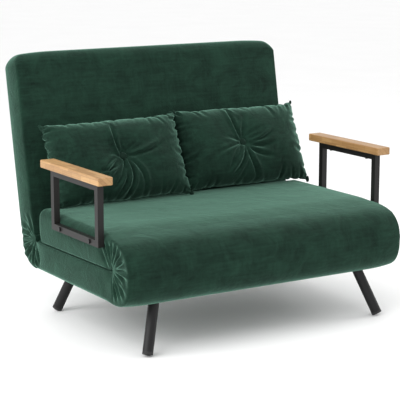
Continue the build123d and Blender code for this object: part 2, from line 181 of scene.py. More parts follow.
def ray_fold(distance, angle, start, bend, length, depth, width, hub, narrow, widening, rise, fade, bumps):
    """Height of a fold that runs out from a point, over points at a distance and an angle from it.

    The fold leaves at the angle start and bends by so many radians per metre, counted from its hub.
    At the point it is narrow times its width, and it gains a whole width over each widening.
    It rises over a range of distances, fades from a share of its length on, and has bumps across it.
    """
    away = np.angle(np.exp(1j * (angle - start - bend * (distance - hub))))
    across = distance * np.sin(away) / (width * (narrow + distance / widening))
    along = smooth_step(*rise, distance) * (1 - smooth_step(length * fade, length, distance))
    return np.where(np.cos(away) > 0, depth * along * profile(across, bumps), 0)


# ---------------------------------------------------------------- padding
# Edge radii
EDGE_R = 0.016
SEAT_EDGE_R = 0.024
ROLL_EDGE_R = 0.007
BACK_EDGE_R = 0.0045
BACK_END_R = 0.036
SEAT_LIP_R, BASE_LIP_R = 0.003, 0.006
END_R = 0.032
FOLD_LINE_R = 0.0005
LIP_REACH, EDGE_REACH = 0.03, 0.05

# How far faces stand out between their edges, and over what distance they rise
CROWN = 0.005
SLIGHT_CROWN, BACK_CROWN, ROLL_CROWN, FULL_CROWN = 0.001, 0.0035, 0.006, 0.008
CROWN_REACH, END_CROWN_REACH = 0.10, 0.09
SIDE_SWELL, SWELL_START = 0.005, (0.02, 0.10)
LOW_FULLNESS = 0.10

# How far faces sink: the seat's top near the front fold, the sides' edges at the gap between seat and
# base, and the backrest's top corners. SEAT_HANG and BASE_HANG are the shares of SHOULDER_DROP that the
# seat's lower edge hangs down and that the base's upper edge makes way.
FOLD_DROP, FOLD_EASE, FOLD_SPREAD = 0.0095, 0.12, 0.6
FOLD_LAYERS = (0.5, 0.85)
SHOULDER_FLAT, SHOULDER_WIDE = 0.012, 0.040
SHOULDER_DROP = (0.010, 0.017)
SEAT_HANG, BASE_HANG = -1.0, 1.12
GROOVE, GROOVE_START, GROOVE_STOP = 0.007, (0.001, 0.009), (0.025, 0.050)
BACK_DROOP, DROOP_WIDE, DROOP_LONG = 0.009, 0.16, 0.12

# Spacing of the padding's points, and how far in from an edge or a fold they are close together
STEP, FINE_STEP, SIDE_STEP, LAYER_STEP, EDGE_STEP = 0.014, 0.0045, 0.016, 0.006, 0.003
SIDE_ZONE, LAYER_ZONE, END_ZONE = 0.036, 0.03, 0.05
BASE_ZONE, FOLD_ZONE = 0.13, 0.10
FRONT_STEPS, REAR_STEPS = 45, 40
NEAR_POLE = 0.001
SECTOR_SHARES = np.concatenate([[0.015], np.linspace(0.05, 0.80, 22), np.linspace(0.84, 1, 6)])


def round_edge(across, along, radius):
    """Rounds the edge between two faces. Both arguments are distances in from the two faces."""
    a, b = np.maximum(radius - across, 0), np.maximum(radius - along, 0)
    longest, length = np.maximum(a, b), np.hypot(a, b)
    scale = np.where(length > 0, longest / np.maximum(length, 1e-9), 1)
    corner = (a > 0) & (b > 0)
    across = np.where(corner, radius - a * scale, across)
    along = np.where(corner, radius - b * scale, along)
    return across, along


def swell(distance, reach):
    """Rises from 0 at a seam to 1 at reach from it, as stuffed fabric does."""
    return 1 - (1 - np.clip(distance / reach, 0, 1)) ** 2


def drape(inward, along):
    """How far the seat's lower edge hangs down over the shoulder of the base, on the strip's sides."""
    share = 1 - smooth_step(SHOULDER_FLAT, SHOULDER_WIDE, inward)
    return np.interp(along, (0, SEAT_END - FRONT_Y), SHOULDER_DROP) * share


def hollow(inward):
    """Share, from 0 to 1, of the groove just inside the base's upper edge, which keeps the gap dark."""
    return smooth_step(*GROOVE_START, inward) * (1 - smooth_step(*GROOVE_STOP, inward))


# A fan of pleats: their turns in degrees from straight ahead, up and round, their reach, depth and width
FRONT_FAN = (np.concatenate([np.linspace(-66, -26, 6), np.linspace(-10, 128, 11)]), 0.135, 0.0068, 0.0055)
REAR_FAN = (np.concatenate([np.linspace(122, 176, 6), np.linspace(188, 296, 9)]), 0.125, 0.0085, 0.0056)
FAN_SEEDS = {"left": 3, "right": 8}

# How single pleats differ: in turn, in bend per metre, and as shares of the reach, depth and width.
# Every other pleat is SHORTER.
PLEAT_TURN, PLEAT_BEND = (-3.5, 3.5), (-2.2, 2.2)
PLEAT_REACH, PLEAT_DEPTH, PLEAT_WIDTH = (0.75, 1.05), (0.65, 1.1), (0.8, 1.25)
SHORTER = 0.85

# A pleat is a ridge with a valley on each side, the deeper one ahead
PLEAT = {
    "hub": 0.03, "narrow": 0.45, "widening": 0.09, "rise": (0.012, 0.060), "fade": 0.60,
    "bumps": ((1, 0, 1), (-0.8, 1.7, 1), (-0.5, -1.8, 1)),
}
DIMPLE_DEPTH, DIMPLE_REACH = 0.006, 0.025
PLEAT_ZONE = 0.05

# In (y, z): the lines that the rolls are built about, and the point that the rear pleats gather at
FRONT_POLE = (FRONT_Y + FOLD_CLEAR, SPLIT_Z)
REAR_POLE = (REAR_Y - FOLD_CLEAR, REAR_Z)
REAR_GATHER = (REAR_Y - 0.004, REAR_Z - 0.014)


def pleat_fan(y, z, pole, fan, seed):
    """Height of the pleats that gather at a fold's end, over a section's side face."""
    turns, reach, depth, width = fan
    rng = np.random.default_rng(seed)
    distance = np.hypot(y - pole[0], z - pole[1])
    angle = np.arctan2(z - pole[1], pole[0] - y)
    height = np.zeros_like(y)
    for number, turn in enumerate(turns):
        start = math.radians(turn + rng.uniform(*PLEAT_TURN))
        bend = rng.uniform(*PLEAT_BEND)
        length = reach * rng.uniform(*PLEAT_REACH) * (1 if number % 2 else SHORTER)
        high = depth * rng.uniform(*PLEAT_DEPTH)
        wide = width * rng.uniform(*PLEAT_WIDTH)
        height += ray_fold(distance, angle, start, bend, length, high, wide, **PLEAT)
    return height


def fan_dimple(y, z, pole):
    """The hollow where the fabric is drawn in towards the end of a fold."""
    distance = np.hypot(y - pole[0], z - pole[1])
    return -DIMPLE_DEPTH * np.exp(-((distance / DIMPLE_REACH) ** 2))


def side_relief(y, z, seed):
    """How far the fabric stands out sideways at a point of the strip's left or right side."""
    front = pleat_fan(y, z, FRONT_POLE, FRONT_FAN, seed) + fan_dimple(y, z, FRONT_POLE)
    rear = pleat_fan(y, z, REAR_GATHER, REAR_FAN, seed + 1)
    return front + rear + fan_dimple(y, z, REAR_GATHER)


def relief_at(points, side, inward):
    """The side relief of points on either side, which fades out inward from the side."""
    y, z = points[:, 1], points[:, 2]
    left, right = side_relief(y, z, FAN_SEEDS["left"]), side_relief(y, z, FAN_SEEDS["right"])
    return np.where(side < 0, left, right) * smooth_step(PLEAT_ZONE, 0.0, inward)


def side_stations():
    """Stations across the strip, closer together near its sides."""
    return stations(-HALF, HALF, SIDE_STEP, EDGE_STEP, ("low", "high"), SIDE_ZONE)


def along_stations(length, round_end):
    """Stations along a section, closer together near its folds and at its round end."""
    if not round_end:
        return stations(0, length, STEP, FINE_STEP, ("low", "high"), BASE_ZONE)
    start = length - END_ZONE
    main = stations(0, start, STEP, FINE_STEP, ("low",), FOLD_ZONE)
    return np.concatenate([main, stations(start, length, FINE_STEP, FINE_STEP)[1:]])


def slab_radius(u, inner, radii, toward_end):
    """Edge radius at each point. At the fold the inner edge is sharp and the outer one is the roll's."""
    inner_r, outer_r, end_r = radii
    low = inner_r * smooth_step(0, LIP_REACH, u) + FOLD_LINE_R
    high = np.interp(u, (0, EDGE_REACH), (ROLL_EDGE_R, outer_r))
    return np.maximum(np.where(inner, low, high), end_r * toward_end)


def facings(inward, depth, radius):
    """How much a point on a rounded edge faces sideways, and how much it faces out of the face."""
    sideways, outward = np.maximum(radius - inward, 0), np.maximum(radius - depth, 0)
    total = np.maximum(np.hypot(sideways, outward), 1e-9)
    return sideways / total, outward / total


def rounded_block(x, u, v, size, corner, radii, round_end):
    """Rounds a section's edges and its far plan corners: squares about each corner's middle become circles.

    Gives the moved x, u and v, which way is out in plan, and how much each point faces sideways and out.
    """
    length, thick = size
    inner = v < thick / 2
    plan_x = np.maximum(np.abs(x) - (HALF - corner), 0)
    plan_u = np.maximum(u - (length - corner), 0) if round_end else np.zeros_like(u)
    from_middle = np.maximum(np.hypot(plan_x, plan_u), 1e-9)
    out_x, out_u = plan_x / from_middle, plan_u / from_middle
    radius = slab_radius(u, inner, radii, out_u)
    inward, depth = round_edge(corner - np.maximum(plan_x, plan_u), np.where(inner, v, thick - v), radius)
    new_x = np.sign(x) * (np.minimum(np.abs(x), HALF - corner) + out_x * (corner - inward))
    new_u = np.where(plan_u > 0, length - corner + out_u * (corner - inward), u)
    new_v = np.where(inner, depth, thick - depth)
    return (new_x, new_u, new_v), (out_x, out_u), facings(inward, depth, radius)


def side_bulge(u, v, length, thick, round_end):
    """How far a section's stuffed sides stand out, fading out where a roll goes on."""
    bulge = SIDE_SWELL * (1 - (2 * v / thick - 1) ** 2) * smooth_step(*SWELL_START, u)
    return bulge if round_end else bulge * smooth_step(*SWELL_START, length - u)


def slab(name, size, corner, place, radii, crown, round_end=True, hang=0.0, groove=0.0, ease=0.0, droop=0.0):
    """A crowned pad. Its local frame is x, u along it from the fold, v through it from its inner face.

    size is its length and thickness, and corner its plan corners' radius at a round far end.
    place turns (x, u, v) into the part's frame.
    radii are those of the inner edge, of the outer edge and round the far end.
    crown says how far the inner and the outer face stand out.
    hang times the drape moves the inner face's sides along v, and groove is the hollow behind their edge.
    ease is how far the outer face sinks at the fold, and droop how far the far end sinks at its corners.
    """
    length, thick = size
    layers = stations(0, thick, LAYER_STEP, EDGE_STEP, ("low", "high"), LAYER_ZONE)
    local, faces = box_grid(side_stations(), along_stations(length, round_end), layers)
    x, u, v = local.T
    side = np.sign(x)
    (new_x, new_u, new_v), (out_x, out_u), (sideways, facing) = rounded_block(
        x, u, v, size, corner, radii, round_end)

    # Crown of both faces, away from their edges
    from_side = HALF - np.abs(new_x)
    rise = swell(from_side, CROWN_REACH) * (swell(length - new_u, END_CROWN_REACH) if round_end else 1)
    push = np.where(v < thick / 2, -crown[0], crown[1]) * rise * facing

    # Pleats and swell of the sides, and the far end's drooping corners
    pleats = relief_at(place(np.stack([new_x, new_u, new_v], -1)), side, from_side)
    bulge = side_bulge(u, new_v, length, thick, round_end)
    new_x = new_x + side * out_x * sideways * (pleats + bulge)
    new_u = new_u + out_u * sideways * bulge
    new_u = new_u - droop * (1 - swell(from_side, DROOP_WIDE)) * smooth_step(length - DROOP_LONG, length, u)

    # Where the faces sink
    through = new_v / thick
    push = push - ease * fold_drop(new_u) * smooth_step(*FOLD_LAYERS, through)
    new_v = new_v + push + hang * drape(from_side, new_u) * (1 - through) ** 2
    new_v = new_v + groove * hollow(from_side) * (1 - new_v / thick) ** 2
    cuts = [u == 0] if round_end else [u == 0, u == length]
    return mesh_object(name, place(np.stack([new_x, new_u, new_v], -1)), faces, cuts)


def wedge(name, pole, start, stop, radius_at, crown, steps):
    """Padding that carries the strip round a fold: a sector about pole, from angle start to stop.

    radius_at gives the outline's distance from the pole at an angle.
    crown says how far the outline stands out between the sides, at start and at stop.
    """
    thetas = np.linspace(start, stop, steps + 1)
    local, faces = box_grid(side_stations(), thetas, SECTOR_SHARES)
    x, theta, share = local.T
    side, radius = np.sign(x), radius_at(theta)
    inward, depth = round_edge(HALF - np.abs(x), (1 - share) * radius, ROLL_EDGE_R)
    sideways, facing = facings(inward, depth, ROLL_EDGE_R)
    distance = np.maximum(radius - depth, NEAR_POLE)
    pleats = relief_at(around(pole, x, theta, distance), side, inward)
    new_x = side * (HALF - inward + pleats * sideways)
    distance = distance + np.interp(theta, (start, stop), crown) * swell(inward, CROWN_REACH) * facing
    cuts = [theta == thetas[0], theta == thetas[-1]]
    return mesh_object(name, around(pole, new_x, theta, distance), faces, cuts)


def around(pole, x, theta, distance):
    """Points at angles and distances about a pole."""
    return np.stack([x, pole[0] - distance * np.cos(theta), pole[1] + distance * np.sin(theta)], -1)


def circle_reach(theta):
    """Distance from the front fold to the front roll's outline, a circle that is fuller low in front."""
    above = ROLL_Z - SPLIT_Z
    along = ROLL_AHEAD * np.cos(theta) + above * np.sin(theta)
    circle = along + np.sqrt(ROLL_R**2 - ROLL_AHEAD**2 - above**2 + along**2)
    full = circle * (1 + LOW_FULLNESS * np.where(theta < 0, np.sin(2 * theta) ** 2, 0))
    past = math.pi / 2 - theta
    slope = 2 * FOLD_DROP / FOLD_EASE
    return full - (FOLD_DROP + slope * ROLL_R * past) * np.exp(-((past / FOLD_SPREAD) ** 2))


def fold_drop(along):
    """The share by which the seat's top sinks towards the front fold, to run on smoothly into the roll."""
    return np.clip(1 - along / FOLD_EASE, 0, 1) ** 2


def heel_reach(theta):
    """Distance from the rear fold to the rear roll's outline, from straight down to the backrest."""
    share = (theta - DOWN_BEHIND) / (BACK_NORMAL - DOWN_BEHIND)
    return np.interp(share, (0, 0.5, 1), HEEL_R)


def flat_place(y0, z0, flip=False):
    """The frame of a level section: u back along it from y0, v up from z0, or down from it if flipped."""
    up = -1 if flip else 1
    return lambda p: np.stack([p[:, 0], y0 + p[:, 1], z0 + up * p[:, 2]], -1)


def back_place(p):
    """The backrest's frame: u up along it from the rear fold, v through it from its front face."""
    depth, height = BACK_SET + p[:, 2], p[:, 1]
    y = REAR_Y + depth * math.cos(LEAN) + height * math.sin(LEAN)
    z = REAR_Z - depth * math.sin(LEAN) + height * math.cos(LEAN)
    return np.stack([p[:, 0], y, z], -1)


# Each piece of padding, with the CAD nodes it stands for
STANDS_FOR = {
    "seat_pad": ("seat_cover", "seat_foam"),
    "base_pad": ("base_cover", "base_foam"),
    "back_pad": ("backrest_cover", "backrest_foam"),
    "front_roll_low": ("front_roll",),
    "front_roll_high": ("front_roll",),
    "rear_roll_pad": ("rear_roll",),
}

# Each fold's joint, with a point at the fold
FRONT_FOLD = ("seat_flip", (0, FRONT_Y + FOLD_CLEAR, FRONT_Z))
REAR_FOLD = ("backrest_recline", (0, REAR_Y - FOLD_CLEAR, REAR_Z))


def make_sections():
    """The seat, base and backrest pads, each with the CAD body it rides on."""
    start, stop = FRONT_Y + FOLD_CLEAR, REAR_Y - FOLD_CLEAR
    seat = slab("seat_pad", (SEAT_END - start, SEAT_HIGH - SEAT_LOW), SEAT_CORNER,
                flat_place(start, SEAT_LOW), (SEAT_LIP_R, SEAT_EDGE_R, END_R), (SLIGHT_CROWN, CROWN),
                hang=SEAT_HANG, ease=FOLD_DROP)
    base = slab("base_pad", (stop - start, BASE_HIGH - BASE_LOW), SEAT_CORNER,
                flat_place(start, BASE_HIGH, flip=True), (BASE_LIP_R, EDGE_R, 0), (SLIGHT_CROWN, FULL_CROWN),
                round_end=False, hang=BASE_HANG, groove=GROOVE)
    back = slab("back_pad", (BACK_LENGTH, BACK_THICK), BACK_CORNER,
                back_place, (BACK_EDGE_R, BACK_EDGE_R, BACK_END_R), (BACK_CROWN, ROLL_CROWN),
                droop=BACK_DROOP)
    return [(seat, "seat"), (base, "base"), (back, "backrest")]


def make_rolls():
    """The padding round both folds. The front roll is split at its fold, and its upper half turns over."""
    low = wedge("front_roll_low", FRONT_POLE, DOWN, AHEAD,
                circle_reach, (FULL_CROWN, ROLL_CROWN), FRONT_STEPS)
    high = wedge("front_roll_high", FRONT_POLE, AHEAD, UP,
                 circle_reach, (ROLL_CROWN, CROWN), FRONT_STEPS)
    rear = wedge("rear_roll_pad", REAR_POLE, BACK_NORMAL, DOWN_BEHIND,
                 heel_reach, (ROLL_CROWN, FULL_CROWN), REAR_STEPS)
    return [(low, "base"), (high, "seat"), (rear, "base")]


def make_padding(fabric):
    """The three sections and the padding round their folds."""
    sections, rolls = make_sections(), make_rolls()
    for piece, body in sections + rolls:
        subdivide(piece)
        piece.data.materials.append(fabric)
        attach(piece, body)
        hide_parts(*STANDS_FOR[piece.name])
    for (piece, _), (joint, anchor) in zip(rolls, (FRONT_FOLD, FRONT_FOLD, REAR_FOLD)):
        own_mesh(piece)


# ---------------------------------------------------------------- materials
# Colours are linear. Velvets: dark ground, pale pile, sheen tint and sheen weight
VELVETS = {
    "velvet": ((0.0020, 0.011, 0.0065), (0.0106, 0.038, 0.0235), (0.41, 0.82, 0.63), 0.61),
    "pillow_velvet": ((0.0018, 0.010, 0.006), (0.0100, 0.036, 0.0225), (0.43, 0.84, 0.65), 0.70),
    "button_velvet": ((0.004, 0.014, 0.009), (0.006, 0.02, 0.013), (0.4, 0.8, 0.6), 0.3),
}

# Woods: the two tones and the joints' tone, a block's length and height, and the joints' width
WOODS = {
    "slat_wood": (((0.62, 0.45, 0.27), (0.70, 0.52, 0.33), (0.5, 0.36, 0.2)), (0.4, 0.06), 0.0),
    "armrest_wood": (((0.50, 0.300, 0.125), (0.36, 0.200, 0.078), (0.26, 0.145, 0.056)),
                     (0.066, 0.0183), 0.0007),
}

# Steels: colour and roughness
PAINTED_STEELS = {
    "section_steel": ((0.03, 0.03, 0.03), 0.5),
    "armrest_steel": ((0.010, 0.0095, 0.009), 0.42),
    "leg_steel": ((0.0065, 0.0065, 0.007), 0.45),
    "head_leg_steel": ((0.009, 0.009, 0.0095), 0.42),
    "fastener_black": ((0.008, 0.008, 0.008), 0.35),
}
BARE_STEELS = {
    "hinge_steel": ((0.45, 0.45, 0.44), 0.35),
    "pin_steel": ((0.5, 0.5, 0.5), 0.25),
}

# Foam, fibre and rubber: colour, scale of the grain and roughness
GRAINY = {
    "foot_rubber": ((0.02, 0.02, 0.02), 300.0, 0.8),
    "foam": ((0.80, 0.76, 0.60), 220.0, 0.95),
    "pillow_filling": ((0.85, 0.85, 0.84), 90.0, 1.0),
}

# The first of these that a CAD node's name contains says which material it gets
NODE_LOOKS = (
    ("armrest_wood_screws", "fastener_black"), ("armrest_wood", "armrest_wood"), ("slats", "slat_wood"),
    ("armrest_frame", "armrest_steel"), ("armrest_bolts", "fastener_black"), ("spacers", "fastener_black"),
    ("foot_cap", "foot_rubber"), ("glides", "foot_rubber"), ("leg_flange_screws", "fastener_black"),
    ("leg_flange", "leg_steel"), ("hinge_pin", "pin_steel"), ("head_leg_pin", "pin_steel"),
    ("leaf", "hinge_steel"), ("head_leg", "head_leg_steel"), ("_leg", "leg_steel"),
    ("_frame", "section_steel"), ("foam", "foam"), ("filling", "pillow_filling"),
    ("buttons", "button_velvet"), ("cover", "velvet"), ("roll", "velvet"),
)
EVENLY = (1, 1, 1)


def join(tree, node, sockets):
    """Sets a node's sockets. A value may be another node's output."""
    for name, value in sockets.items():
        if isinstance(value, bpy.types.NodeSocket):
            tree.links.new(value, node.inputs[name])
        else:
            node.inputs[name].default_value = value


def add(tree, kind, sockets, **settings):
    """A new node with its settings and sockets set."""
    made = tree.nodes.new(kind)
    for name, value in settings.items():
        setattr(made, name, value)
    join(tree, made, sockets)
    return made


def new_material(name):
    """A material with its node tree and shader."""
    made = bpy.data.materials.new(name)
    made.use_nodes = True
    return made, made.node_tree, made.node_tree.nodes["Principled BSDF"]


def shade(colour, factor):
    """A lighter or darker tone of a colour."""
    return [channel * factor for channel in colour]


def ramp(tree, factor, *stops):
    """A colour that runs between two (place, colour) stops."""
    made = add(tree, "ShaderNodeValToRGB", {"Fac": factor})
    for element, (place, colour) in zip(made.color_ramp.elements, stops):
        element.position, element.color = place, (*colour, 1)
    return made.outputs["Color"]


def object_place(tree):
    """The object's own coordinates."""
    return add(tree, "ShaderNodeTexCoord", {}).outputs["Object"]


def noise(tree, stretch, **sockets):
    """Noise over the object's own coordinates, finer along an axis by its factor in stretch."""
    place = add(tree, "ShaderNodeMapping", {"Vector": object_place(tree), "Scale": stretch}).outputs["Vector"]
    return add(tree, "ShaderNodeTexNoise", {"Vector": place, **sockets}).outputs["Fac"]


def blend(tree, share, first, second):
    """A number between two others, nearer the second as share rises."""
    return add(tree, "ShaderNodeMix", {0: share, 2: first, 3: second}, data_type="FLOAT").outputs[0]


def bump(tree, height, strength, distance, **sockets):
    """A shader normal from a height."""
    sockets.update({"Strength": strength, "Distance": distance, "Height": height})
    return add(tree, "ShaderNodeBump", sockets).outputs["Normal"]


def velvet(name, deep, pale, tint, weight):
    """Cut-pile velvet: a dark ground, pile that lies in brushed patches and streaks, and a pale sheen."""
    made, tree, shader = new_material(name)
    patches = noise(tree, EVENLY, Scale=12.0, Detail=7.0, Roughness=0.74, Distortion=0.7)
    along = noise(tree, (9, 130, 130), Scale=1.0, Detail=4.0, Roughness=0.6)
    down = noise(tree, (110, 14, 14), Scale=1.0, Detail=3.0)
    both = blend(tree, 0.38, patches, blend(tree, 0.30, along, down))
    pile = noise(tree, EVENLY, Scale=700.0, Detail=2.0)
    coarse = bump(tree, patches, 0.34, 0.010)
    join(tree, shader, {
        "Base Color": ramp(tree, both, (0.36, deep), (0.64, pale)),
        "Normal": bump(tree, pile, 0.25, 0.0006, Normal=coarse),
        "Roughness": 0.9,
        "Specular IOR Level": 0.15,
        "Sheen Weight": weight,
        "Sheen Roughness": 0.36,
        "Sheen Tint": (*tint, 1),
    })
    return made


def painted_steel(name, colour, roughness):
    """Powder-coated steel with a fine orange-peel texture and slightly worn gloss."""
    made, tree, shader = new_material(name)
    peel = noise(tree, EVENLY, Scale=420.0, Detail=2.0)
    cloud = noise(tree, EVENLY, Scale=14.0, Detail=4.0)
    gloss = {"Value": cloud, "To Min": roughness - 0.06, "To Max": roughness + 0.08}
    join(tree, shader, {
        "Base Color": ramp(tree, cloud, (0.35, colour), (0.75, shade(colour, 1.35))),
        "Roughness": add(tree, "ShaderNodeMapRange", gloss).outputs["Result"],
        "Normal": bump(tree, peel, 0.12, 0.0004),
        "Specular IOR Level": 0.28,
    })
    return made


def bare_steel(name, colour, roughness):
    """Plain steel, brushed along X."""
    made, tree, shader = new_material(name)
    brushed = noise(tree, (8, 400, 400), Scale=1.0, Detail=3.0)
    join(tree, shader, {
        "Base Color": ramp(tree, brushed, (0.3, colour), (0.7, shade(colour, 1.3))),
        "Normal": bump(tree, brushed, 0.08, 0.0003),
        "Metallic": 1.0,
        "Roughness": roughness,
    })
    return made


def block_wood(name, tones, block, gap):
    """Wood glued up from short blocks, with long grain in each."""
    made, tree, shader = new_material(name)
    apart = add(tree, "ShaderNodeSeparateXYZ", {"Vector": object_place(tree)}).outputs
    across = add(tree, "ShaderNodeMath", {0: apart["X"], 1: apart["Z"]}, operation="ADD").outputs[0]
    laid = add(tree, "ShaderNodeCombineXYZ", {"X": apart["Y"], "Y": across}).outputs[0]
    light, dark, joint = [(*tone, 1) for tone in tones]
    blocks = add(tree, "ShaderNodeTexBrick", {
        "Vector": laid, "Color1": light, "Color2": dark, "Mortar": joint, "Scale": 1.0, "Mortar Size": gap,
        "Mortar Smooth": 0.3, "Bias": 0.0, "Brick Width": block[0], "Row Height": block[1],
    }, offset=0.37, squash=1.0)
    grain = noise(tree, (260, 9, 260), Scale=1.0, Detail=5.0, Distortion=0.4)
    flecks = ramp(tree, grain, (0.35, (0.80, 0.74, 0.66)), (0.65, (1, 1, 1)))
    mixed = add(tree, "ShaderNodeMix", {0: 1.0, 6: blocks.outputs["Color"], 7: flecks},
                data_type="RGBA", blend_type="MULTIPLY")
    join(tree, shader, {
        "Base Color": mixed.outputs[2],
        "Normal": bump(tree, grain, 0.15, 0.0005),
        "Roughness": 0.48,
        "Coat Weight": 0.15,
        "Coat Roughness": 0.35,
    })
    return made


def grainy(name, colour, scale, roughness):
    """Foam, fibre or rubber: an even colour with fine grain in tone and bump."""
    made, tree, shader = new_material(name)
    cells = noise(tree, EVENLY, Scale=scale, Detail=4.0)
    join(tree, shader, {
        "Base Color": ramp(tree, cells, (0.35, shade(colour, 0.8)), (0.65, colour)),
        "Normal": bump(tree, cells, 0.3, 0.001),
        "Roughness": roughness,
    })
    return made


def make_materials():
    """Every material by name."""
    made = {}
    for maker, looks in ((velvet, VELVETS), (block_wood, WOODS), (painted_steel, PAINTED_STEELS),
                         (bare_steel, BARE_STEELS), (grainy, GRAINY)):
        for name, look in looks.items():
            made[name] = maker(name, *look)
    return made


def repaint_nodes(materials):
    """Gives the CAD nodes their materials."""
    for name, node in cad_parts.items():
        look = next(look for key, look in NODE_LOOKS if key in name)
        node.data.materials.clear()
        node.data.materials.append(materials[look])


# ---------------------------------------------------------------- pillows
# The sides draw in by PILLOW_EARS between the corners, and the top and bottom by a share of it
PILLOW_EARS, END_EARS = 0.006, 0.7
SEEDS = {"left": 11, "right": 29}
FILL_PRESSURE, FILL_FRAMES, FILL_CAP = 4.0, 12, 0.012
SEAM_R = 0.0017

# Grid lines of a pillow's sheets across and up, and how far they stand out past half its thickness
ACROSS_LINES, UP_LINES = 125, 77
FULLER = 0.010

# The dent round the button, from depth, reach and power, and an uneven swell between the folds
DENTS = ((0.022, 0.040, 1.5), (0.010, 0.10, 2))
WAVE_HEIGHT, WAVE_ACROSS, WAVE_UP = 0.0045, 27, 33

# Folds that run out from the button: their turns in degrees, each kind's lengths and depths, how far
# they stray from their turn, how much they bend and how wide they are
FOLD_TURNS = (-8, -36, -60, -80, -97, -122, -148, 187, 156, 121, 88, 52, 20)
SHALLOW_TURNS = (156, 88, 52, 20)
DEEP_FOLD = ((0.15, 0.22), (0.0115, 0.0160))
SHALLOW_FOLD = ((0.07, 0.14), (0.0050, 0.0085))

FOLD_START, FOLD_BEND, FOLD_WIDTH = (-7, 7), (-5.5, 5.5), (0.0055, 0.0080)

# A pillow's fold is a sharp valley between a high and a low ridge
FOLD_BUMPS = ((0.85, 1.15, 1), (0.35, -1.4, 1), (-1, 0, 1.6))
FOLD = {
    "hub": 0.02, "narrow": 0.7, "widening": 0.16, "rise": (0.006, 0.022), "fade": 0.45,
    "bumps": FOLD_BUMPS,
}

# Short folds in from a gathered seam: how many, and how deep, at the sides and at the top and bottom
SIDE_FOLDS, END_FOLDS = (8, 0.0095), (10, 0.0062)
FOLDED_SPAN = 0.88

# How single seam folds differ: in shift as a share of their spacing, slope, further slope towards the
# corners, length, share of the depth and width. A fold widens on its way in, and draws in the seam.
SEAM_SHIFT, SEAM_SLOPE, SEAM_LEAN = (-0.35, 0.35), (-0.5, 0.5), 0.25
SEAM_LENGTH, SEAM_DEPTH, SEAM_WIDTH = (0.022, 0.062), (0.5, 1.2), (0.0045, 0.0075)
SEAM_NARROW, SEAM_WIDENING = 0.8, 0.05
DRAW_SHARE, DRAW_WIDE = 0.85, 0.009

# Where a placed pillow is pressed flat: above the seat's crown, and ahead of the backrest's front
SEAT_GAP, BACK_GAP = 0.001, 0.0125

# Buttons: place, radius, dome and depth, and the outlines of the dome and of the back behind it
BUTTON_X = {"left": 0.0, "right": -0.016}
BUTTON_R, BUTTON_DOME, BUTTON_DEPTH, BUTTON_TURNS = 0.0135, 0.0055, 0.056, 28
DOME = ((0, 1), (0.4, 0.93), (0.75, 0.7), (0.95, 0.35), (1, 0))
DOME_BACK = ((0.93 * BUTTON_R, 0.0025), (0.5 * BUTTON_R, 0.003), (0.0016, 0.0035))

# Small dark knots on the rim further right than RIGHT_SEAM from the middle: their outline, how many
# corners go round it, and the half sizes of the lower and the upper one
KNOT = ((0, -1), (0.6, -0.8), (0.95, -0.3), (1, 0.15), (0.7, 0.7), (0, 1))
KNOT_TURNS, KNOT_SEED = 14, 5
KNOT_SIZES = ((0.0070, 0.0065, 0.0130), (0.0050, 0.0050, 0.0075))
RIGHT_SEAM = 0.45 * PILLOW_WIDE


def button_folds(x, z, rng):
    """Folds that run out from the button, most of them downwards, each curving a little."""
    distance, angle = np.hypot(x, z), np.arctan2(z, x)
    height = np.zeros_like(x)
    for turn in FOLD_TURNS:
        lengths, depths = SHALLOW_FOLD if turn in SHALLOW_TURNS else DEEP_FOLD
        length, depth = rng.uniform(*lengths), rng.uniform(*depths)
        start = math.radians(turn + rng.uniform(*FOLD_START))
        bend = rng.uniform(*FOLD_BEND)
        width = rng.uniform(*FOLD_WIDTH)
        height += ray_fold(distance, angle, start, bend, length, depth, width, **FOLD)
    return height


def seam_folds(run, inward, span, count, strength, rng):
    """Short folds that run in from a gathered seam. Also says how far each draws the seam in."""
    height, draw = np.zeros_like(run), np.zeros_like(run)
    for place in np.linspace(-FOLDED_SPAN, FOLDED_SPAN, count) * span:
        middle = place + rng.uniform(*SEAM_SHIFT) * 2 * span / count
        slope = rng.uniform(*SEAM_SLOPE) - SEAM_LEAN * middle / span
        length = rng.uniform(*SEAM_LENGTH)
        depth = strength * rng.uniform(*SEAM_DEPTH)
        width = rng.uniform(*SEAM_WIDTH)
        across = (run - middle - slope * inward) / (width * (SEAM_NARROW + inward / SEAM_WIDENING))
        height += depth * np.exp(-((inward / length) ** 2)) * profile(across, FOLD_BUMPS)
        draw += depth * DRAW_SHARE * np.exp(-(((run - middle) / DRAW_WIDE) ** 2))
    return height, draw


def pillow_sheet(gx, gz, x, z, button_x, rng):
    """How far one side of a pillow stands out, and how far its folds draw the seams in, across and up."""
    wide, high = PILLOW_WIDE / 2, PILLOW_HIGH / 2
    full = ((1 - np.abs(gx) ** 2.6) * (1 - np.abs(gz) ** 2.3)) ** 0.53
    distance = np.hypot(x - button_x, z)
    dent = sum(depth * np.exp(-((distance / reach) ** power)) for depth, reach, power in DENTS)
    sides, side_draw = seam_folds(z, wide - np.abs(x), high, *SIDE_FOLDS, rng)
    ends, end_draw = seam_folds(x, high - np.abs(z), wide, *END_FOLDS, rng)
    thick = (PILLOW_THICK / 2 + FULLER) * full - dent
    phase_x, phase_z = rng.uniform(0, 6), rng.uniform(0, 6)
    wave = WAVE_HEIGHT * np.sin(x * WAVE_ACROSS + phase_x) * np.sin(z * WAVE_UP + phase_z) * full
    folds = (button_folds(x - button_x, z, rng) + sides + ends) * smooth_step(0, 0.10, full)
    return thick + folds + wave, side_draw, end_draw


